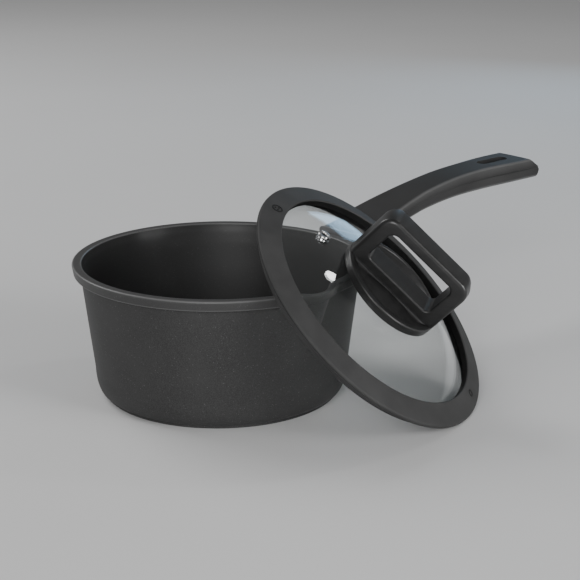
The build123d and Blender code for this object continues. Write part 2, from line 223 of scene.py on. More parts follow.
@dataclass(frozen=True)
class CastCoating:
    """Sprayed non-stick coating on cast aluminium: dark grey with fine pale flecks."""

    tone: float = 0.030
    highlight_tone: float = 0.22
    fleck_tone: float = 0.15
    inside_tone: float = 0.027
    grain_scale: float = 1500.0
    fleck_scale: float = 760.0
    low_rough: float = 0.47
    relief_depth: float = 0.00009

    def material(self) -> Material:
        """Builds the coating, smoother and darker inside, a little polished along the rim, with painted
        highlight lightening the rim band and its edges.
        """
        s = Shader("speckled_coating")
        inside = s.attribute("inside")
        rim = s.attribute("rim")
        clouds = s.noise(38, 3)
        grain = s.noise(self.grain_scale, 2, 0.6)
        flecks = 1 - s.grains(self.fleck_scale).step(0.10, 0.24)
        chosen = flecks * s.noise(420, 1).step(0.50, 0.62)
        outer = s.blend(clouds.step(0.3, 0.75), grey(self.tone * 0.82), grey(self.tone * 1.2))
        toned = s.blend(grain.step(0.35, 0.7), outer, grey(self.tone * 1.55))
        inner = s.blend(grain, grey(self.inside_tone * 0.8), grey(self.inside_tone * 1.35))
        mixed = s.blend(inside, toned, inner)
        colour = s.blend(chosen * (0.8 - 0.45 * inside), mixed, grey(self.fleck_tone))
        edge = s.attribute("edge")
        rough = self.low_rough + 0.12 * grain - 0.07 * inside - 0.12 * rim - 0.10 * edge + 0.05 * clouds
        relief = grain * 0.7 + s.noise(620, 2) * 0.6 + s.grains(1100) * 0.35
        # painted highlight: the rim band is lightened a little and its edges much more, where the light
        # catches them; the lower roughness there is the real polish
        rim_lit = s.blend(rim * 0.25, colour, grey(self.tone * 2.0))
        highlit = s.blend(edge * 0.6, rim_lit, grey(self.highlight_tone))
        return s.surface({"Base Color": highlit, "Roughness": rough,
                          "Normal": s.bump(relief * (1 - 0.45 * inside), self.relief_depth, 0.55),
                          "Specular IOR Level": 0.4})


@dataclass(frozen=True)
class SoftTouchPhenolic:
    """Matte moulded grip with a fine grain, rubbed a little smoother along its edges, which also carry a
    painted highlight.
    """

    tone: float = 0.021
    dust_tone: float = 0.12
    grain_scale: float = 2600.0
    low_rough: float = 0.48
    relief_depth: float = 0.00004

    def material(self) -> Material:
        """Builds the matte plastic."""
        s = Shader("soft_touch_phenolic")
        grain = s.noise(self.grain_scale, 2, 0.6)
        handling = s.noise(34, 3)
        dust = (1 - s.grains(520).step(0.05, 0.14)) * s.noise(90, 2).step(0.52, 0.68)
        base = s.blend(handling.step(0.3, 0.7), grey(self.tone * 0.85), grey(self.tone * 1.2))
        colour = s.blend(dust * 0.25, base, grey(self.dust_tone))
        edge = s.attribute("edge")
        # painted highlight: the long edges are lightened where the light catches them
        highlit = s.blend(edge * (0.55 + 0.3 * handling), colour, grey(self.tone * 8))
        rough = self.low_rough + 0.10 * grain + 0.08 * handling - 0.14 * edge
        return s.surface({"Base Color": highlit, "Roughness": rough,
                          "Normal": s.bump(grain + 0.4 * s.noise(700, 2), self.relief_depth, 0.6),
                          "Specular IOR Level": 0.35})


@dataclass(frozen=True)
class GlossPhenolic:
    """Pressed black phenolic of the knob, softly glossy, with faint flow lines and finger haze."""

    tone: float = 0.010
    low_rough: float = 0.29
    low_coat: float = 0.15
    coat_rough: float = 0.22
    relief_depth: float = 0.00003

    def material(self) -> Material:
        """Builds the glossy plastic."""
        s = Shader("pressed_phenolic")
        haze = s.noise(55, 4, 0.6)
        flow = s.noise(60, 3, 0.6, s.stretched((1, 1, 6), (0.4, 0.5, 0)))
        fine = s.noise(1900, 2)
        scuffs = s.noise(240, 2, 0.5, s.stretched((9, 1, 1), (0, 0, 0.7))).step(0.66, 0.74)
        base = s.blend(flow.step(0.35, 0.7), grey(self.tone * 0.8), grey(self.tone * 1.5))
        rough = self.low_rough + 0.13 * haze + 0.05 * fine + 0.10 * scuffs
        return s.surface({"Base Color": base, "Roughness": rough,
                          "Coat Weight": self.low_coat + 0.1 * haze, "Coat Roughness": self.coat_rough,
                          "Normal": s.bump(fine + 0.8 * haze, self.relief_depth, 0.35)})


@dataclass(frozen=True)
class Silicone:
    """Matte silicone with a satin mould texture, a little lint and painted shade on the faces marked as
    hidden.
    """

    name: str
    tone: float
    low_rough: float = 0.55
    relief_depth: float = 0.00004

    def material(self) -> Material:
        """Builds the soft matte surface."""
        s = Shader(self.name)
        satin = s.noise(2100, 2, 0.55)
        clouds = s.noise(45, 3)
        lint = (1 - s.grains(430).step(0.04, 0.12)) * s.noise(120, 2).step(0.50, 0.66)
        base = s.blend(clouds.step(0.3, 0.72), grey(self.tone * 0.86), grey(self.tone * 1.18))
        # painted shade: faces marked as hidden, where the ring grips the pane and hangs below it, are
        # darkened
        shaded = s.blend(s.attribute("hidden"), base, grey(self.tone * 0.12))
        rough = self.low_rough + 0.10 * satin + 0.10 * clouds
        linty = s.blend(lint * 0.3, shaded, grey(self.tone * 3.2))
        return s.surface({"Base Color": linty, "Roughness": rough, "Specular IOR Level": 0.3,
                          "Normal": s.bump(satin + 0.4 * clouds, self.relief_depth, 0.5)})


@dataclass(frozen=True)
class TemperedGlass:
    """Clear tempered glass with the faintest wiping marks."""

    tint: Colour = (0.95, 0.975, 0.97, 1.0)
    wiped_tint: Colour = (0.92, 0.945, 0.94, 1.0)
    low_rough: float = 0.004
    ior: float = 1.5

    def material(self) -> Material:
        """Builds the clear glass."""
        s = Shader("tempered_glass")
        wipes = s.noise(70, 4, 0.6, s.stretched((1, 5, 1), (0, 0, 0.6)))
        smudge = s.noise(26, 3).step(0.5, 0.8)
        rough = self.low_rough + 0.035 * wipes.step(0.5, 0.8) * smudge
        clean = s.blend(smudge * 0.5, self.tint, self.wiped_tint)
        return s.surface({"Base Color": clean, "Roughness": rough, "IOR": self.ior,
                          "Transmission Weight": 1.0})


@dataclass(frozen=True)
class Metal:
    """Bare metal: polished, brushed along one direction, or plain."""

    name: str
    colour: Colour
    rough: float
    brush: tuple[float, float, float] = (1.0, 1.0, 1.0)
    marks: float = 0.12
    line_scale: float = 900.0
    relief_depth: float = 0.00002

    def material(self) -> Material:
        """Builds the metal with fine lines and small handling marks."""
        s = Shader(self.name)
        lines = s.noise(self.line_scale, 3, 0.6, s.stretched(self.brush))
        clouds = s.noise(120, 3)
        darker = tuple(0.82 * c for c in self.colour[:3]) + (1.0,)
        base = s.blend(lines * 0.6 + clouds * 0.4, darker, self.colour)
        rough = self.rough + self.marks * lines + 0.5 * self.marks * clouds
        return s.surface({"Base Color": base, "Metallic": 1.0, "Roughness": rough,
                          "Normal": s.bump(lines, self.relief_depth, 0.5)})


@dataclass(frozen=True)
class TurnedSteel:
    """Steel disc faced on a lathe: fine rings about the pan's axis."""

    ring_pitch: float = 900.0
    dark: Colour = (0.42, 0.42, 0.43, 1.0)
    light: Colour = (0.66, 0.66, 0.67, 1.0)
    low_rough: float = 0.26
    relief_depth: float = 0.00003

    def material(self) -> Material:
        """Builds the turned steel."""
        s = Shader("turned_steel")
        flat = s.node("ShaderNodeVectorMath", {"operation": "MULTIPLY"},
                      {0: s.place, 1: (1.0, 1.0, 0.0)})
        radius = s.node("ShaderNodeVectorMath", {"operation": "LENGTH"}, {0: flat.outputs[0]})
        rings = s.node("ShaderNodeTexNoise", {"noise_dimensions": "1D"},
                       {"W": radius.outputs["Value"], "Scale": self.ring_pitch, "Detail": 3.0})
        ring = Value(s, rings.outputs[0])
        scuffs = s.noise(160, 4, 0.6).step(0.55, 0.75)
        rough = self.low_rough + 0.14 * ring + 0.10 * scuffs
        return s.surface({"Base Color": s.blend(ring, self.dark, self.light), "Metallic": 1.0,
                          "Roughness": rough,
                          "Normal": s.bump(ring + 0.3 * scuffs, self.relief_depth, 0.6)})


@dataclass(frozen=True)
class PlasterFloor:
    """Pale plain floor."""

    tone: float = 0.72

    def material(self) -> Material:
        """Builds the floor's matte surface."""
        s = Shader("pale_floor")
        clouds = s.noise(3, 3)
        base = s.blend(clouds, grey(self.tone * 0.97), grey(self.tone * 1.03))
        return s.surface({"Base Color": base, "Roughness": 0.7 + 0.1 * clouds})


RIM_SILICONE = Silicone("matte_silicone", 0.040)
MARK_SILICONE = Silicone("raised_mark_silicone", 0.006)
SEAL_SILICONE = Silicone("clear_seal_silicone", 0.10, 0.35)
GUARD_STEEL = Metal("brushed_guard", (0.38, 0.38, 0.39, 1.0), 0.32, (1, 9, 1), 0.2)
SCREW_STEEL = Metal("plain_screw_steel", (0.60, 0.60, 0.61, 1.0), 0.25)
INSERT_BRASS = Metal("turned_brass", (0.72, 0.52, 0.22, 1.0), 0.25, (1, 1, 8))
VENT_CHROME = Metal("polished_chrome", (0.80, 0.80, 0.81, 1.0), 0.05, (1, 1, 1), 0.08)


# ---- mesh work


def spread(start: float, end: float, steps: int) -> list[float]:
    """Evenly spaced numbers, both ends included."""
    return [start + (end - start) * i / steps for i in range(steps + 1)]


def off_axis(point: Vector) -> float:
    """Distance of a point from the Z axis."""
    return math.hypot(point.x, point.y)


def arc(centre: Point2, radius: float, start: float, end: float, steps: int) -> list[Point2]:
    """Points on an arc, both ends included.

    Args:
        centre: The arc's centre.
        radius: Its radius.
        start: First angle in degrees, from the first axis.
        end: Last angle in degrees.
        steps: Number of chords.

    Returns:
        The points in order.
    """
    angles = map(math.radians, spread(start, end, steps))
    return [(centre[0] + radius * math.cos(a), centre[1] + radius * math.sin(a)) for a in angles]


def run(start: Point2, end: Point2, steps: int) -> list[Point2]:
    """Evenly spaced points from start towards end, without the end."""
    return list(zip(spread(start[0], end[0], steps), spread(start[1], end[1], steps)))[:-1]


def rounded_box(half_w: float, low: float, high: float, radii: Sequence[float],
                steps: int) -> list[Point2]:
    """Outline of a rectangle with rounded corners.

    Args:
        half_w: Half the width.
        low: Height of the lower side.
        high: Height of the upper side.
        radii: Corner radii: lower right, upper right, upper left, lower left.
        steps: Chords in each corner.

    Returns:
        The closed outline's points.
    """
    corners = ((1, low, 1, -90), (1, high, -1, 0), (-1, high, -1, 90), (-1, low, 1, 180))
    points: list[Point2] = []
    for (side, level, into, start), radius in zip(corners, radii):
        centre = (side * (half_w - radius), level + into * radius)
        points += arc(centre, radius, start, start + 90, steps)
    return points


def split(outline: list[Point2], parts: int = 4) -> list[Point2]:
    """Closed outline with every side cut into equal parts."""
    return [point for a, b in zip(outline, outline[1:] + outline[:1]) for point in run(a, b, parts)]


def eased_max(a: float, b: float, reach: float) -> float:
    """The larger of two numbers, with the change-over rounded."""
    share = held(0.5 + 0.5 * (b - a) / reach)
    return a + (b - a) * share + reach * share * (1 - share)


class Piece:
    """A mesh under construction, in millimetres, in its own local frame."""

    def __init__(self, name: str) -> None:
        """Starts an empty mesh of that name."""
        self.name = name
        self.bm = bmesh.new()

    def loop(self, points: Iterable[Sequence[float]]) -> list[Edge]:
        """Adds a closed loop of edges through the points."""
        verts = [self.bm.verts.new(p) for p in points]
        return [self.bm.edges.new((a, b)) for a, b in zip(verts, verts[1:] + verts[:1])]

    def skin(self, loops: list[list[Edge]]) -> None:
        """Skins each loop to the next."""
        for first, second in zip(loops, loops[1:]):
            bmesh.ops.bridge_loops(self.bm, edges=first + second)

    def spin(self, outline: Sequence[Point2], steps: int, closed: bool) -> "Piece":
        """Turns an outline of (radius, height) about Z.

        Args:
            outline: The outline's points.
            steps: Segments round the axis.
            closed: Whether the outline's last point joins its first.

        Returns:
            The piece itself.
        """
        verts = [self.bm.verts.new((r, 0, z)) for r, z in outline]
        pairs = list(zip(verts, verts[1:])) + ([(verts[-1], verts[0])] if closed else [])
        edges = [self.bm.edges.new(pair) for pair in pairs]
        bmesh.ops.spin(self.bm, geom=verts + edges, cent=(0, 0, 0), axis=(0, 0, 1), dvec=(0, 0, 0),
                       angle=2 * math.pi, steps=steps, use_merge=True, use_duplicate=False)
        bmesh.ops.remove_doubles(self.bm, verts=self.bm.verts, dist=1e-4)
        return self

    def outward(self) -> "Piece":
        """Makes every face point outwards."""
        bmesh.ops.recalc_face_normals(self.bm, faces=self.bm.faces)
        return self

    def bevel(self, edges: Iterable[Edge], width: float, segments: int) -> None:
        """Rounds the given edges."""
        bmesh.ops.bevel(self.bm, geom=list(edges), offset=width, offset_type="OFFSET", affect="EDGES",
                        segments=segments, profile=0.5, material=-1, clamp_overlap=True)

    def sharp(self, angle: float) -> list[Edge]:
        """Edges that turn by more than an angle in degrees."""
        limit = math.radians(angle)
        return [e for e in self.bm.edges if len(e.link_faces) == 2 and e.calc_face_angle(0) > limit]

    def paint(self, name: str, amount: Callable[[Vector], float]) -> None:
        """Paints a number on every vertex, worked out from its place."""
        layer = self.bm.verts.layers.float.get(name) or self.bm.verts.layers.float.new(name)
        for v in self.bm.verts:
            v[layer] = amount(v.co)

    def capped(self, loops: list[list[Edge]]) -> "Piece":
        """Skins the loops and closes both ends."""
        self.skin(loops)
        bmesh.ops.holes_fill(self.bm, edges=self.bm.edges, sides=0)
        return self.outward()

    def rod(self, radius: float, depth: float) -> "Piece":
        """Adds a cylinder along Z, centred on the origin."""
        bmesh.ops.create_cone(self.bm, cap_ends=True, segments=48, radius1=radius, radius2=radius,
                              depth=depth)
        return self

    def place(self, placing: Matrix = Matrix.Identity(4), crease: float = 40.0) -> Object:
        """Puts the mesh in the whole object's frame, in metres, and makes its object.

        Args:
            placing: Local frame of the piece, in millimetres.
            crease: Edges that turn by more than this many degrees stay sharp.

        Returns:
            The object, at the origin, unturned and unscaled.
        """
        bmesh.ops.transform(self.bm, matrix=Matrix.Scale(MM, 4) @ placing, verts=self.bm.verts)
        mesh = bpy.data.meshes.new(self.name)
        for face in self.bm.faces:
            face.smooth = True
        self.bm.to_mesh(mesh)
        self.bm.free()
        mesh.set_sharp_from_angle(angle=math.radians(crease))
        made = bpy.data.objects.new(self.name, mesh)
        bpy.context.scene.collection.objects.link(made)
        return made


def cut(target: Object, tool: Object) -> None:
    """Cuts the tool's volume out of the target and removes the tool."""
    modifier = target.modifiers.new("cut", "BOOLEAN")
    modifier.operation = "DIFFERENCE"
    modifier.solver = "EXACT"
    modifier.object = tool
    settle(target)
    bpy.data.objects.remove(tool)


def settle(target: Object) -> None:
    """Applies a piece's modifiers to its mesh."""
    graph = bpy.context.evaluated_depsgraph_get()
    mesh = bpy.data.meshes.new_from_object(target.evaluated_get(graph))
    target.modifiers.clear()
    target.data = mesh


def round_edges(target: Object, width: float, segments: int, angle: float) -> None:
    """Rounds every edge of a finished mesh that turns by more than an angle.

    Args:
        target: The piece.
        width: Width of the rounding in millimetres.
        segments: Facets across it.
        angle: Smallest turn in degrees that is rounded.
    """
    modifier = target.modifiers.new("rounding", "BEVEL")
    modifier.width = width * MM
    modifier.segments = segments
    modifier.limit_method = "ANGLE"
    modifier.angle_limit = math.radians(angle)
    modifier.miter_outer = "MITER_ARC"
    settle(target)


def finish(piece: Object, look: Material, body: Body, slot: Slot, *nodes: str) -> None:
    """Dresses a piece and fits it to the frame.

    Args:
        piece: The piece.
        look: Its one material.
        body: The body that it rides on.
        slot: Its material slot, not used.
        *nodes: The CAD nodes that it stands for.
    """
    piece.data.materials.clear()
    piece.data.materials.append(look)
    shading = piece.modifiers.new("shading", "WEIGHTED_NORMAL")
    shading.keep_sharp = True
    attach(piece, body.value)
    if nodes:
        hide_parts(*nodes)
    LOG.info("%s: %d faces", piece.name, len(piece.data.polygons))


def dress_nodes(look: Material, *names: str) -> None:
    """Gives CAD nodes that stay visible their finish."""
    for name in names:
        node = frame["nodes"][name]
        if not node.material_slots:
            node.data.materials.append(look)
        for slot in node.material_slots:
            slot.material = look
        LOG.info("%s: dressed", name)


def centre_of(node: str) -> Vector:
    """Centre of a CAD node's box, in millimetres."""
    low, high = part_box(node)
    return (low + high) / 2 / MM


def facing(at: Vector, normal: Vector) -> Matrix:
    """Frame at a point whose Z points along a direction."""
    turn = Vector((0, 0, 1)).rotation_difference(normal)
    return Matrix.Translation(at) @ turn.to_matrix().to_4x4()


def held(value: float) -> float:
    """A number kept within 0 and 1."""
    return min(1.0, max(0.0, value))


# ---- pan


@dataclass
class PanBody:
    """Cast pan: wall, rim band, pouring spout and handle boss."""

    rim_r: float = 96.0
    mouth_r: float = 89.8
    top: float = 88.2
    band_low: float = 81.4
    wall_top_r: float = 90.7
    wall_low_r: float = 83.2
    wall_low_z: float = 18.0
    wall: float = 3.1
    floor: float = 5.0
    foot_r: float = 77.5
    foot_h: float = 2.4
    plate_r: float = 66.0
    plate_t: float = 1.0
    plate_gap: float = 0.25
    foot_step: float = 0.8
    corner_reach: float = 4.9
    corner_rise: float = 15.6
    corner_in: float = 12.0
    seat_z: float = 74.0
    spout_out: float = 4.2
    spout_half_w: float = 19.0
    spout_depth: float = 17.0
    spout_low_z: float = 47.0
    spout_dip: float = 1.8
    spout_blend: float = 7.5
    spout_foot: float = 3.0
    spout_margin: float = 4.0
    spout_from: float = 60.0
    dip_from: float = 72.0
    foot_round: float = 0.6
    band_round: float = 0.8
    lip_round: float = 1.1
    mouth_round: float = 1.0
    turns: int = 384
    # reach of the painted edge highlight
    highlight_reach: float = 0.9
    boss_end: float = 104.0
    boss_half_w: float = 17.0
    boss_low: float = 66.5
    boss_high: float = 85.5
    boss_round: float = 5.0
    boss_flare: float = 4.0
    boss_drop: float = 0.6
    boss_sunk: float = 0.8
    boss_stations: int = 12
    look: CastCoating = field(default_factory=CastCoating)

    def outer_r(self, z: float) -> float:
        """Outer radius of the wall at a height, without the rim band."""
        share = (z - self.wall_low_z) / (self.band_low - self.wall_low_z)
        return self.wall_low_r + (self.wall_top_r - self.wall_low_r) * max(0.0, share)

    def inner_r(self, z: float) -> float:
        """Inner radius of the wall at a height."""
        if z > self.seat_z:
            low = self.wall_top_r - self.wall
            return low + (self.mouth_r - low) * (z - self.seat_z) / (self.top - self.seat_z)
        low = self.floor + self.corner_in
        share = max(0.0, (z - low) / (self.seat_z - low))
        return self.wall_low_r - self.wall + (self.wall_top_r - self.wall_low_r) * share

    def outline(self) -> list[Point2]:
        """Section of the pan from the middle of its underside round to the middle of its floor."""
        rim, mouth, top, low = self.rim_r, self.mouth_r, self.top, self.band_low
        foot_r, small, lip_r, mouth_in = self.foot_r, self.foot_round, self.lip_round, self.mouth_round
        foot = [(0, self.plate_t), (30, self.plate_t), (self.plate_r, self.plate_t),
                (self.plate_r, self.plate_gap), (self.plate_r + self.plate_gap, 0)]
        foot += run((self.plate_r + 1, 0), (foot_r - small, 0), 4)
        foot += arc((foot_r - small, small), small, -90, 0, 3)
        foot += [(foot_r, self.foot_h - 0.3), (foot_r + 0.3, self.foot_h)]
        corner = [(foot_r + self.foot_step + self.corner_reach * math.sin(a),
                   self.foot_h + self.corner_rise * (1 - math.cos(a)))
                  for a in map(math.radians, spread(0, 90, 14))]
        wall = run(corner[-1], (self.wall_top_r, low), 26)
        band = [(self.wall_top_r, low - 0.5), (self.wall_top_r + 0.35, low),
                (self.wall_top_r + 1.0, low + 0.2), (rim - 1.6, low + 0.3)]
        band += arc((rim - 1.6, low + 1.1), self.band_round, -90, -5, 4)
        band += run((rim - 0.75, low + 1.4), (rim, top - lip_r), 4)
        lip = arc((rim - lip_r, top - lip_r), lip_r, 0, 90, 6)
        lip += run((rim - 2.0, top), (mouth + mouth_in, top), 4)
        lip += arc((mouth + mouth_in, top - mouth_in), mouth_in, 90, 180, 5)
        inner_high = (self.wall_top_r - self.wall, self.seat_z)
        inner_low = (self.wall_low_r - self.wall, self.floor + self.corner_in)
        inside = run((mouth, top - 1.4), inner_high, 8) + run(inner_high, inner_low, 24)
        inside += arc((inner_low[0] - self.corner_in, inner_low[1]), self.corner_in, 0, -90, 12)
        inside += [(r, self.floor) for r in (60, 50, 38, 26, 13, 0)]
        return foot + corner[:-1] + wall + band + lip + inside

    def spout_reach(self, side: float, z: float, inset: float) -> float:
        """How far from the axis the spout's cone reaches.

        Args:
            side: Distance to the side of the spout's middle.
            z: Height.
            inset: How much smaller the cone is all round.

        Returns:
            The radius, or 0 where the cone isn't.
        """
        share = (z - self.spout_low_z) / (self.top - self.spout_low_z)
        depth = self.spout_foot + (self.spout_depth - self.spout_foot) * share - inset
        half_w = self.spout_foot + (self.spout_half_w - self.spout_foot) * share - inset
        if share <= 0 or depth <= 0 or half_w <= abs(side):
            return 0.0
        low_centre = self.outer_r(self.spout_low_z) - self.spout_foot
        centre = low_centre + (self.rim_r + self.spout_out - self.spout_depth - low_centre) * share
        return centre + depth * math.sqrt(1 - (side / half_w) ** 2)

    def pull_spout(self, piece: Piece) -> None:
        """Draws the wall and the rim out into the pouring spout, and dips its lip."""
        for v in piece.bm.verts:
            side, z = v.co.x, v.co.z
            radius = off_axis(v.co)
            if not self.by_spout(v.co) or z < self.spout_low_z or radius < self.spout_from:
                continue
            outer = self.rim_r if z > self.band_low else self.outer_r(z)
            inner = self.inner_r(z)
            new_outer = eased_max(outer, self.spout_reach(side, z, 0), self.spout_blend)
            new_inner = eased_max(inner, self.spout_reach(side, z, self.wall), self.spout_blend)
            share = held((radius - inner) / (outer - inner))
            if z <= self.band_low or radius <= inner + 3.0:
                moved = radius + (new_inner - inner) * (1 - share) + (new_outer - outer) * share
            elif new_outer > outer:
                moved = eased_max(radius, new_outer - (outer - radius) * 0.25, 1.5)
            else:
                moved = radius
            near = max(0.0, 1 - (side / self.spout_half_w) ** 2) ** 2
            v.co.x *= moved / radius
            v.co.y *= moved / radius
            v.co.z -= self.spout_dip * near * held((z - self.dip_from) / (self.top - self.dip_from))

    def by_spout(self, point: Vector) -> bool:
        """Whether a point is on the spout's side of the pan, near the spout."""
        return point.y <= 0 and abs(point.x) <= self.spout_half_w + self.spout_margin

    def edge_highlight(self, point: Vector) -> float:
        """How much a point lies on one of the rim's edges, from 0 to 1, for the painted highlight."""
        if self.by_spout(point):
            return 0.15 if point.z > self.top - 3 else 0.0
        corners = ((self.rim_r - 0.4, self.top - 0.4), (self.mouth_r + 0.3, self.top - 0.3),
                   (self.rim_r - 1.2, self.band_low + 0.5))
        near = min(math.hypot(off_axis(point) - r, point.z - z) for r, z in corners)
        return max(0.0, 1 - near / self.highlight_reach)

    def build(self) -> None:
        """Builds the casting and its boss, and dresses the base plate."""
        look = self.look.material()
        piece = Piece("pan_casting").spin(self.outline(), self.turns, closed=False)
        self.pull_spout(piece)
        piece.outward()
        piece.paint("inside", self.insideness)
        # the rim band and the rim's edges are painted for the coating's painted highlight
        piece.paint("rim", lambda p: held((p.z - self.band_low) / 2.0))
        piece.paint("edge", self.edge_highlight)
        finish(piece.place(), look, Body.PAN, Slot.COATING, "pan_body")
        finish(self.boss(), look, Body.PAN, Slot.COATING)
        dress_nodes(TurnedSteel().material(), "base_plate")

    def insideness(self, point: Vector) -> float:
        """1 on the inner face of the wall and on the floor, else 0."""
        near = off_axis(point) < self.inner_r(point.z) + 0.6
        on_spout = point.y < -60 and point.z > 84
        return 1.0 if near and point.z > self.floor - 1 and not on_spout else 0.0

    def in_wall(self, y: float, z: float) -> float:
        """X of a point inside the wall, on the handle's side."""
        return math.sqrt((self.outer_r(min(z, self.band_low)) - self.boss_sunk) ** 2 - y * y)

    def boss_section(self, share: float) -> list[Point2]:
        """Outline of the boss, from 0 at the wall to 1 at its end."""
        flare = self.boss_flare * (1 - share) ** 3
        high = self.boss_high - self.boss_drop * (1 - share)
        return split(rounded_box(self.boss_half_w + flare, self.boss_low - flare, high,
                                 (self.boss_round,) * 4, 6))

    def boss(self) -> Object:
        """Cast boss that carries the handle, flaring into the wall; its hidden face is curved."""
        piece = Piece("handle_boss")
        middle = (self.boss_low + self.boss_high) / 2
        loops = []
        for scale in (0.15, 0.4, 0.7, 0.9):
            face = [(y * scale, middle + (z - middle) * scale) for y, z in self.boss_section(0)]
            loops.append(piece.loop([(self.in_wall(y, z), y, z) for y, z in face]))
        for share in spread(0, 1, self.boss_stations):
            loops.append(piece.loop([(self.in_wall(y, z) * (1 - share) + self.boss_end * share, y, z)
                                     for y, z in self.boss_section(share)]))
        return piece.capped(loops).place()


# ---- handle


@dataclass
class Handle:
    """Moulded grip, its flame guard and its screw."""

    stations: tuple[tuple[float, float, float, float], ...] = (
        (107.0, 20.0, 88.8, 68.6), (120.0, 19.6, 92.9, 74.0), (133.0, 18.7, 97.1, 82.4),
        (147.0, 17.5, 101.2, 88.2), (161.0, 15.9, 105.1, 91.9), (177.0, 14.4, 109.0, 95.1),
        (205.0, 13.7, 113.8, 98.8), (235.0, 14.0, 116.3, 100.5), (262.0, 16.1, 117.0, 101.6),
        (294.0, 16.4, 117.3, 102.2))
    end_line: tuple[Point2, ...] = ((290.6, 102.0), (292.0, 105.6), (292.3, 108.2), (290.6, 111.0),
                                    (281.0, 117.7))
    slices: int = 90
    end_rounding: float = 0.8
    cut_rounding: float = 0.7
    top_round: float = 1.8
    under_round: float = 2.8
    step_depth: float = 1.3
    step_from: float = 150.0
    step_run: float = 110.0
    step_fade: float = 12.0
    least_step: float = 0.25
    # reach of the painted edge highlight
    highlight_reach: float = 1.5
    slot_x: float = 257.0
    slot_l: float = 29.0
    slot_w: float = 9.5
    slot_low: float = 90.0
    slot_high: float = 125.0
    tang_tilt: float = 20.0
    washer_t: float = 1.3
    pocket_r: float = 5.6
    pocket_depth: float = 24.0
    look: SoftTouchPhenolic = field(default_factory=SoftTouchPhenolic)

    def at(self, x: float) -> tuple[float, float, float]:
        """Half width, top and bottom of the grip at a distance from the pan's axis."""
        rows = self.stations
        i = max(k for k in range(len(rows) - 1) if rows[k][0] <= x + 1e-6)
        before, here, after = rows[max(0, i - 1)], rows[i], rows[i + 1]
        beyond = rows[min(len(rows) - 1, i + 2)]
        span = after[0] - here[0]
        t = (x - here[0]) / span
        out = []
        for k in (1, 2, 3):
            slope_here = (after[k] - before[k]) / (after[0] - before[0]) * span
            slope_after = (beyond[k] - here[k]) / (beyond[0] - here[0]) * span
            out.append((2 * t**3 - 3 * t**2 + 1) * here[k] + (t**3 - 2 * t**2 + t) * slope_here
                       + (3 * t**2 - 2 * t**3) * after[k] + (t**3 - t**2) * slope_after)
        return out[0], out[1], out[2]

    def section(self, x: float) -> list[tuple[float, float, float]]:
        """Outline of the grip at a distance: crowned top, stepped sides, rounded underside."""
        half_w, top, bottom = self.at(x)
        middle = bottom + 0.5 * (top - bottom)
        step = self.step_depth * max(self.least_step, held((x - self.step_from) / self.step_run))
        step *= max(self.least_step, held((self.stations[-1][0] - x) / self.step_fade))
        top_r, under_r = self.top_round, self.under_round
        half: list[Point2] = [(0.0, top + 0.25), (half_w * 0.5, top + 0.2), (half_w - top_r - 0.8, top)]
        half += arc((half_w - top_r, top - top_r), top_r, 72, 5, 5)
        half += [(half_w - 0.05, middle + 1.6), (half_w - 0.15, middle + 0.7),
                 (half_w - 0.35, middle + 0.35), (half_w - 0.9 * step, middle - 0.1),
                 (half_w - step, middle - 0.5), (half_w - 0.95 * step, middle - 1.4),
                 (half_w - 0.6 - 0.25 * step, bottom + under_r + 0.6)]
        half += arc((half_w - under_r - 0.8, bottom + under_r), under_r, 5, -70, 5)
        half += [(half_w - under_r - 2.0, bottom), (half_w * 0.4, bottom - 0.1), (0.0, bottom - 0.1)]
        return [(x, y, z) for y, z in half + [(-y, z) for y, z in reversed(half[1:-1])]]

    def edge_highlight(self, point: Vector) -> float:
        """How much a point of the grip lies on one of its long corners, from 0 to 1, for the painted
        highlight.
        """
        half_w, top, bottom = self.at(min(point.x, self.stations[-1][0]))
        upper = math.hypot(abs(point.y) - half_w + 0.9, point.z - top + 0.9)
        lower = math.hypot(abs(point.y) - half_w + 1.6, point.z - bottom - 1.2)
        return max(0.0, 1 - min(upper, lower) / self.highlight_reach)

    def slot_tool(self) -> Object:
        """Prism that cuts the hanging slot."""
        tool = Piece("slot_tool")
        radius = self.slot_w / 2
        reach = self.slot_l / 2 - radius
        outline = arc((reach, 0), radius, -90, 90, 14) + arc((-reach, 0), radius, 90, 270, 14)
        return tool.capped([tool.loop([(self.slot_x + x, y, z) for x, y in outline])
                            for z in (self.slot_low, self.slot_high)]).place()

    def pocket_tool(self) -> Object:
        """Cylinder that cuts the pocket for the handle screw, up to its washer's seat."""
        tilt = math.radians(self.tang_tilt)
        axis = Vector((-math.sin(tilt), 0, math.cos(tilt)))
        middle = centre_of("handle_washer") + axis * (self.washer_t - self.pocket_depth) / 2
        return Piece("pocket_tool").rod(self.pocket_r, self.pocket_depth).place(facing(middle, axis))

    def trim_end(self, piece: Piece) -> None:
        """Cuts the grip's end to its bevelled nose, one plane after another."""
        corners = [Vector((x, 0, z)) for x, z in self.end_line]
        for low, high in zip(corners, corners[1:]):
            normal = Vector((high.z - low.z, 0, low.x - high.x)).normalized()
            geom = list(piece.bm.verts) + list(piece.bm.edges) + list(piece.bm.faces)
            made = bmesh.ops.bisect_plane(piece.bm, geom=geom, dist=1e-5, plane_co=low, plane_no=normal,
                                          clear_outer=True)
            rim = [e for e in made["geom_cut"] if isinstance(e, Edge)]
            bmesh.ops.holes_fill(piece.bm, edges=rim, sides=0)

    def build(self) -> None:
        """Builds the grip and dresses the steel parts."""
        piece = Piece("grip_moulding")
        start, end = self.stations[0][0], self.stations[-1][0]
        piece.capped([piece.loop(self.section(x)) for x in spread(start, end, self.slices)])
        self.trim_end(piece)
        piece.outward()
        inner_x = self.end_line[-1][0] - 1
        ends = [e for e in piece.sharp(35) if min(v.co.x for v in e.verts) > inner_x
                or max(v.co.x for v in e.verts) < start + 0.1]
        piece.bevel(ends, self.end_rounding, 3)
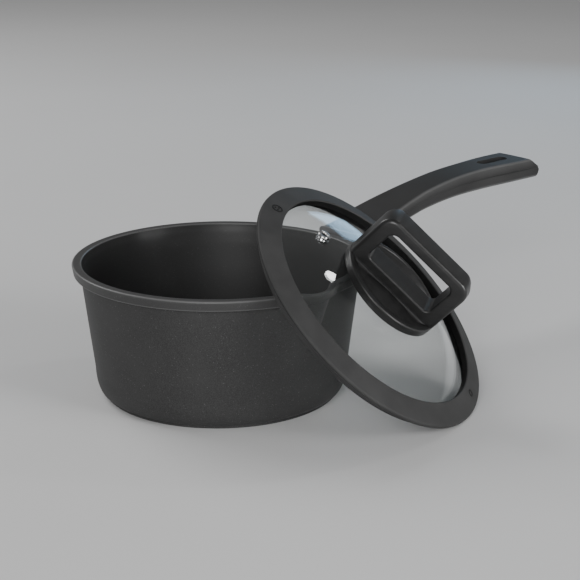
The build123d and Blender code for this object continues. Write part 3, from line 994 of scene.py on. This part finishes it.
        # the long corners are painted for the grip's painted highlight
        piece.paint("edge", self.edge_highlight)
        grip = piece.place()
        cut(grip, self.slot_tool())
        cut(grip, self.pocket_tool())
        round_edges(grip, self.cut_rounding, 3, 50)
        grip.data.set_sharp_from_angle(angle=math.radians(45))
        finish(grip, self.look.material(), Body.PAN, Slot.GRIP, "handle_grip")
        dress_nodes(GUARD_STEEL.material(), "flame_guard")
        dress_nodes(SCREW_STEEL.material(), "handle_screw", "handle_washer", "knob_washer", "knob_screw")


# ---- lid


@dataclass
class Lid:
    """Leaning glass lid with its silicone ring, vent and knob, in the lid's own frame."""

    dome_r: float = 190.0
    dome_top: float = 16.4
    glass_t: float = 3.5
    glass_edge: float = 84.5
    hole_r: float = 4.0
    ring_r: float = 94.0
    ring_inner: float = 78.9
    ring_crown: float = 4.44
    ring_seat: float = 2.6
    ring_rounding: float = 1.7
    ring_inner_round: float = 0.8
    groove: float = 0.4
    plug_r: float = 88.0
    plug_round: float = 0.6
    fit_gap: float = 0.05
    vent_at: float = 52.2
    vent_hole: float = 2.1
    vent_barrel: float = 3.0
    vent_flange: float = 4.2
    vent_rise: float = 1.8
    vent_under: float = 1.5
    insert_middle: float = 20.2
    marks_at: tuple[Point2, Point2] = ((-85.5, -3.7), (85.9, -0.9))
    mark_sizes: tuple[float, float] = (3.2, 1.9)
    mark_half_w: float = 0.5
    mark_rise: float = 0.25
    dot_at: float = 1.4
    turns: int = 256

    def placing(self) -> Matrix:
        """Frame of the lid at rest: its axis is the joint's, its X runs away from the vent."""
        axis = Vector(frame["joints"][0]["axis"]).normalized()
        origin = centre_of("knob_insert") - axis * self.insert_middle
        away = origin - centre_of("vent_collar")
        along = (away - axis * away.dot(axis)).normalized()
        turn = Matrix((along, axis.cross(along), axis)).transposed()
        return Matrix.Translation(origin) @ turn.to_4x4()

    def dome(self, radius: float, sunk: float = 0.0) -> float:
        """Height of the glass at a radius, on the outside or sunk below it."""
        return self.dome_top - self.dome_r + math.sqrt((self.dome_r - sunk) ** 2 - radius**2)

    def dome_line(self, start: float, end: float, steps: int, sunk: float = 0.0) -> list[Point2]:
        """Points along the dome from one radius to another, both ends included."""
        return [(r, self.dome(r, sunk)) for r in spread(start, end, steps)]

    @property
    def slope(self) -> float:
        """Slope of the ring's top, in radians."""
        return math.atan(self.ring_crown / (self.ring_r - self.ring_inner))

    def ring_top(self, radius: float) -> float:
        """Height of the ring's sloping top at a radius."""
        return self.ring_crown * (self.ring_r - radius) / (self.ring_r - self.ring_inner)

    def build(self) -> None:
        """Builds every visible piece of the lid."""
        placing = self.placing()
        self.glass(placing)
        self.ring(placing)
        self.vent(placing)
        self.marks(placing)
        dress_nodes(SEAL_SILICONE.material(), "knob_seal", "knob_gasket")
        dress_nodes(INSERT_BRASS.material(), "knob_insert")

    def glass(self, placing: Matrix) -> None:
        """Domed pane with its vent hole."""
        edge = self.glass_edge - self.fit_gap
        round_in = 0.4
        outline = self.dome_line(self.hole_r, edge - round_in, 56)
        outline += [(edge, self.dome(edge, round_in)), (edge, self.dome(edge, self.glass_t - round_in))]
        outline += self.dome_line(edge - round_in, self.hole_r, 56, self.glass_t)
        pane = Piece("glass_pane").spin(outline, self.turns, closed=True).outward().place(placing)
        drill = Piece("vent_tool").rod(self.vent_barrel + self.fit_gap, 20)
        cut(pane, drill.place(placing @ self.vent_frame()))
        pane.data.set_sharp_from_angle(angle=math.radians(40))
        finish(pane, TemperedGlass().material(), Body.LID, Slot.GLASS, "lid_glass")

    def ring_outline(self) -> list[Point2]:
        """Section of the ring: sloping top, grooved edge, seat, plug lip and the pane's channel."""
        edge, inner, seat, plug = self.ring_r, self.ring_inner, -self.ring_seat, self.plug_r
        rounding, small, tilt = self.ring_rounding, self.plug_round, 90 - math.degrees(self.slope)
        outline = arc((inner + self.ring_inner_round, self.ring_crown - 1.03), self.ring_inner_round,
                      180, tilt, 5)
        outline += run((inner + 2.0, self.ring_top(inner + 2.0)),
                       (edge - 2.2, self.ring_top(edge - 2.2)), 8)
        drop = rounding * (1 - math.sin(self.slope)) / math.cos(self.slope)
        outline += arc((edge - rounding, -drop), rounding, tilt, 0, 8)
        outline += [(edge, -1.4), (edge - self.groove, -1.53), (edge - self.groove, -1.7), (edge, -1.83)]
        outline += arc((edge - 0.5, seat + 0.5), 0.5, 0, -90, 3)
        outline += run((edge - 1.2, seat), (plug + 1.6, seat), 3)
        outline += [(plug + 1.0, seat - 0.15), (plug + 0.6, -3.6), (plug + 0.2, -6.0)]
        outline += arc((plug - small, -7.6), small, 0, -80, 3)
        outline += [(self.glass_edge, -8.6), (82.2, -7.4)]
        outline += arc((81.7, -6.6), small, -110, -180, 3)
        outline += self.dome_line(81.7 - small, self.glass_edge, 6, self.glass_t)
        return outline + self.dome_line(self.glass_edge, inner, 8)

    def pane_shade_amount(self, point: Vector) -> float:
        """Painted shade amount: 1 on the ring's faces that grip the pane and hang below it, else 0."""
        radius = off_axis(point)
        return 1.0 if point.z < self.ring_top(radius) - 0.9 and radius < self.glass_edge + 1 else 0.0

    def ring(self, placing: Matrix) -> None:
        """Silicone ring that grips the pane, with painted shade on its faces under the pane."""
        piece = Piece("silicone_ring").spin(self.ring_outline(), self.turns, closed=True).outward()
        # the faces under the pane are marked for painted shade
        piece.paint("hidden", self.pane_shade_amount)
        ring = piece.place(placing, crease=50)
        finish(ring, RIM_SILICONE.material(), Body.LID, Slot.RIM, "silicone_rim")

    def vent_frame(self) -> Matrix:
        """Frame on the pane at the vent, its Z square to the dome."""
        height = self.dome(self.vent_at)
        normal = Vector((-self.vent_at, 0, height - (self.dome_top - self.dome_r))).normalized()
        return facing(Vector((-self.vent_at, 0, height)), normal)

    def vent(self, placing: Matrix) -> None:
        """Polished eyelet with a rolled flange and a rolled lower edge."""
        low = -self.glass_t - self.vent_under
        roll = (self.vent_flange - self.vent_hole) / 2
        outline = [(self.vent_hole, low), (self.vent_hole, -1.5)]
        outline += arc((self.vent_hole + roll, self.vent_rise - roll), roll, 180, 0, 14)
        outline += [(self.vent_flange, 0.25), (self.vent_flange - 0.15, 0.0), (self.vent_barrel, -0.04),
                    (self.vent_barrel, low)]
        piece = Piece("vent_eyelet").spin(outline, 64, closed=True).outward()
        chrome = VENT_CHROME.material()
        finish(piece.place(placing @ self.vent_frame()), chrome, Body.LID, Slot.CHROME, "vent_grommet")
        dress_nodes(chrome, "vent_collar")

    def marks(self, placing: Matrix) -> None:
        """Two small raised marks on the ring: a circle with three dots and a small circle."""
        look = MARK_SILICONE.material()
        half, rise, lip = self.mark_half_w, self.mark_rise, 0.15
        names, counts = ("mark_dots", "mark_circle"), (3, 0)
        for name, at, size, dots in zip(names, self.marks_at, self.mark_sizes, counts):
            outline = [(size - half, -0.2), (size - half, 0.12), (size - half + lip, rise),
                       (size + half - lip, rise), (size + half, 0.12), (size + half, -0.2)]
            piece = Piece(name).spin(outline, 40, closed=True)
            for i in range(dots):
                turn = Matrix.Rotation(2 * math.pi * i / dots, 4, "Z")
                spot = Matrix.Translation(turn @ Vector((self.dot_at, 0.0, 0.0)))
                bmesh.ops.create_cone(piece.bm, cap_ends=True, segments=14, radius1=0.75, radius2=0.6,
                                      depth=0.45, matrix=spot)
            seat = Matrix.Translation((*at, self.ring_top(math.hypot(*at))))
            round_z = Matrix.Rotation(math.atan2(at[1], at[0]), 4, "Z")
            tilt = Matrix.Rotation(self.slope, 4, "Y")
            finish(piece.outward().place(placing @ seat @ round_z @ tilt), look, Body.LID, Slot.RIM)


@dataclass
class Knob:
    """Round knob cut away on two sides to an upright frame with a finger window."""

    lid: Lid
    radius: float = 36.6
    half_t: float = 10.2
    top: float = 56.4
    corner: float = 9.0
    rim_top: float = 19.6
    rim_w: float = 3.2
    dish: float = 17.7
    dish_line: tuple[Point2, ...] = ((31.0, 0.75), (29.4, 0.25), (27.4, 0.0), (24.0, 0.05),
                                     (20.0, 0.25), (15.0, 0.6), (10.0, 0.85))
    gasket: float = 0.8
    insert_r: float = 3.6
    window_half: float = 27.3
    window_low: float = 24.2
    window_high: float = 50.0
    window_corners: tuple[float, float, float, float] = (5.0, 5.5, 6.5, 5.0)
    window_rounding: float = 1.3
    rounding: float = 2.4
    round_steps: int = 6
    crown: float = 0.4
    ledge: float = 19.9
    ledge_step: float = 1.1
    cove_reach: float = 4.6
    cove_steps: int = 7
    cove_cuts: int = 24
    cove_inset: float = 0.4
    side_run: float = 8.0
    foot_round: float = 1.3
    rim_round: float = 1.0
    look: GlossPhenolic = field(default_factory=GlossPhenolic)

    def under(self, radius: float) -> float:
        """Height of the knob's hollow underside at a radius."""
        sphere = self.lid.dome_r + self.gasket
        return self.lid.dome_top - self.lid.dome_r + math.sqrt(sphere**2 - radius**2)

    def disc(self) -> Piece:
        """Round foot with a raised rim and a dished top."""
        outer, inner, dish = self.radius, self.radius - self.rim_w, self.dish
        big, small = self.foot_round, self.rim_round
        outline = [(r, self.under(r)) for r in (self.insert_r, 12, 20, 28, 33, outer - 0.6)]
        outline += [(outer, self.under(outer) + 0.5)]
        outline += run((outer, self.under(outer) + 1.2), (outer, self.rim_top - big), 3)
        outline += arc((outer - big, self.rim_top - big), big, 0, 90, 6)
        outline += arc((inner + 0.6, self.rim_top - small), small, 90, 150, 4)
        outline += [(r, dish + rise) for r, rise in self.dish_line + ((self.insert_r, 0.9),)]
        return Piece("knob_foot").spin(outline, 160, closed=True).outward()

    def slices(self, rounding: float) -> list[Point2]:
        """Slices through the frame from front to back.

        Args:
            rounding: Radius of the rounding where the slices reach a face.

        Returns:
            For each slice its place between the faces and its inset by the rounding.
        """
        flat = self.half_t - rounding
        back = [(flat + rounding * math.sin(a), rounding * (1 - math.cos(a)))
                for a in map(math.radians, spread(0, 90, self.round_steps))]
        front = [(-y, inset) for y, inset in reversed(back)]
        return front + [(0.0, 0.0)] + back

    def upright(self) -> Piece:
        """Frame with rounded upper corners whose ends follow the knob's round outline."""
        piece = Piece("knob_frame")
        outer = []
        for y, inset in self.slices(self.rounding):
            half_w = math.sqrt(self.radius**2 - y * y) - inset
            top = self.top - inset - self.crown * (y / self.half_t) ** 2
            corner = self.corner - inset
            ledge, side = self.ledge, half_w - self.side_run
            points = run((-side, ledge), (side, ledge), 4) + run((side, ledge), (half_w, ledge), 4)
            points += run((half_w, ledge), (half_w, top - corner), 8)
            points += arc((half_w - corner, top - corner), corner, 0, 90, 12)
            points += run((half_w - corner, top), (-half_w + corner, top), 8)[1:]
            points += arc((-half_w + corner, top - corner), corner, 90, 180, 12)
            points += run((-half_w, top - corner), (-half_w, ledge), 8)[1:]
            points += run((-half_w, ledge), (-side, ledge), 4)
            outer.append(piece.loop([(x, y, z) for x, z in points]))
        piece.skin(outer)
        window = []
        for y, inset in self.slices(self.window_rounding):
            grow = inset - self.window_rounding
            radii = [r + grow for r in self.window_corners]
            points = rounded_box(self.window_half + grow, self.window_low - grow,
                                 self.window_high + grow, radii, 12)
            window.append(piece.loop([(x, y, z) for x, z in points]))
        piece.skin(window)
        for rims in (outer[0] + window[0], outer[-1] + window[-1]):
            bmesh.ops.triangle_fill(piece.bm, edges=rims, use_beauty=True, use_dissolve=False)
        return piece.outward()

    def cove(self) -> Piece:
        """Narrower plinth below the frame that sweeps down into the dishes."""
        piece = Piece("knob_plinth")
        loops = []
        for turn in map(math.radians, spread(0, 90, self.cove_steps)):
            y = self.half_t - self.ledge_step + self.cove_reach * (1 - math.cos(turn))
            z = self.ledge + 0.1 - (self.ledge + 0.1 - self.dish) * math.sin(turn)
            reach = self.radius - self.cove_inset
            half_w = math.sqrt(reach**2 - y * y)
            half = [(half_w * share, -y, z) for share in spread(-1, 1, self.cove_cuts)]
            half += [(math.sqrt(reach**2 - w * w), w, z) for w in (-y / 2, 0.0, y / 2)]
            loops.append(piece.loop(half + [(-x, -w, h) for x, w, h in half]))
        return piece.capped(loops)

    def build(self) -> None:
        """Builds the foot, the frame and the plinth under it."""
        look = self.look.material()
        placing = self.lid.placing()
        finish(self.disc().place(placing, crease=60), look, Body.LID, Slot.KNOB, "knob_body")
        finish(self.upright().place(placing, crease=45), look, Body.LID, Slot.KNOB)
        finish(self.cove().place(placing, crease=60), look, Body.LID, Slot.KNOB)


# ---- studio


@dataclass(frozen=True)
class SoftBox:
    """One soft light, square or round, that points at the middle of the set."""

    name: str
    at: tuple[float, float, float]
    size: float
    power: float
    colour: tuple[float, float, float] = (1.0, 1.0, 1.0)
    round_face: bool = False

    def build(self) -> None:
        """Hangs the light."""
        light = bpy.data.objects.new(self.name, bpy.data.lights.new(self.name, "AREA"))
        light.data.shape = "DISK" if self.round_face else "SQUARE"
        light.data.size = self.size
        light.data.energy = self.power
        light.data.color = self.colour
        light.location = self.at
        light.rotation_euler = (-Vector(self.at)).to_track_quat("-Z", "Y").to_euler()
        bpy.context.scene.collection.objects.link(light)


@dataclass
class Studio:
    """Pale floor, soft lights and the camera."""

    camera_at: tuple[float, float, float] = (-0.57585, -0.75694, 0.35849)
    camera_pitch: float = 17.103
    camera_heading: float = -40.0
    lens: float = 94.08
    sensor: float = 36.0
    near: float = 0.01
    floor_half: float = 5.0
    lights: tuple[SoftBox, ...] = (
        SoftBox("key", (-1.5, -1.3, 0.85), 0.9, 23.0),
        SoftBox("side", (0.7, -1.9, 0.6), 0.9, 27.0),
        SoftBox("back", (-0.3, 1.6, 1.5), 1.2, 20.0),
        SoftBox("strip", (1.21, 0.66, 0.45), 0.38, 0.8, (0.45, 0.72, 1.0)),
        SoftBox("lamp", (1.03, -0.15, 1.06), 0.11, 0.9, round_face=True))
    world_tone: float = 0.20

    def build(self) -> None:
        """Makes the camera, floor, lights and world."""
        camera = bpy.data.objects.new("camera", bpy.data.cameras.new("camera"))
        camera.data.lens = self.lens
        camera.data.sensor_width = self.sensor
        camera.data.clip_start = self.near
        camera.location = self.camera_at
        camera.rotation_euler = (math.radians(90 - self.camera_pitch), 0,
                                 math.radians(self.camera_heading))
        bpy.context.scene.collection.objects.link(camera)
        bpy.context.scene.camera = camera
        self.floor()
        for light in self.lights:
            light.build()
        world = bpy.data.worlds.new("studio")
        world.use_nodes = True
        background = world.node_tree.nodes["Background"]
        background.inputs["Color"].default_value = grey(self.world_tone)
        bpy.context.scene.world = world

    def floor(self) -> None:
        """Lays the pale floor."""
        mesh = bpy.data.meshes.new("floor")
        bm = bmesh.new()
        bmesh.ops.create_grid(bm, x_segments=4, y_segments=4, size=self.floor_half)
        bm.to_mesh(mesh)
        bm.free()
        floor = bpy.data.objects.new("floor", mesh)
        bpy.context.scene.collection.objects.link(floor)
        mesh.materials.append(PlasterFloor().material())


def main() -> None:
    """Builds the saucepan piece by piece around the frame."""
    logging.basicConfig(level=logging.INFO, format="%(name)s %(message)s")
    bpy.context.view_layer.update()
    Studio().build()
    PanBody().build()
    Handle().build()
    lid = Lid()
    lid.build()
    Knob(lid).build()


if __name__ == "__main__":
    main()
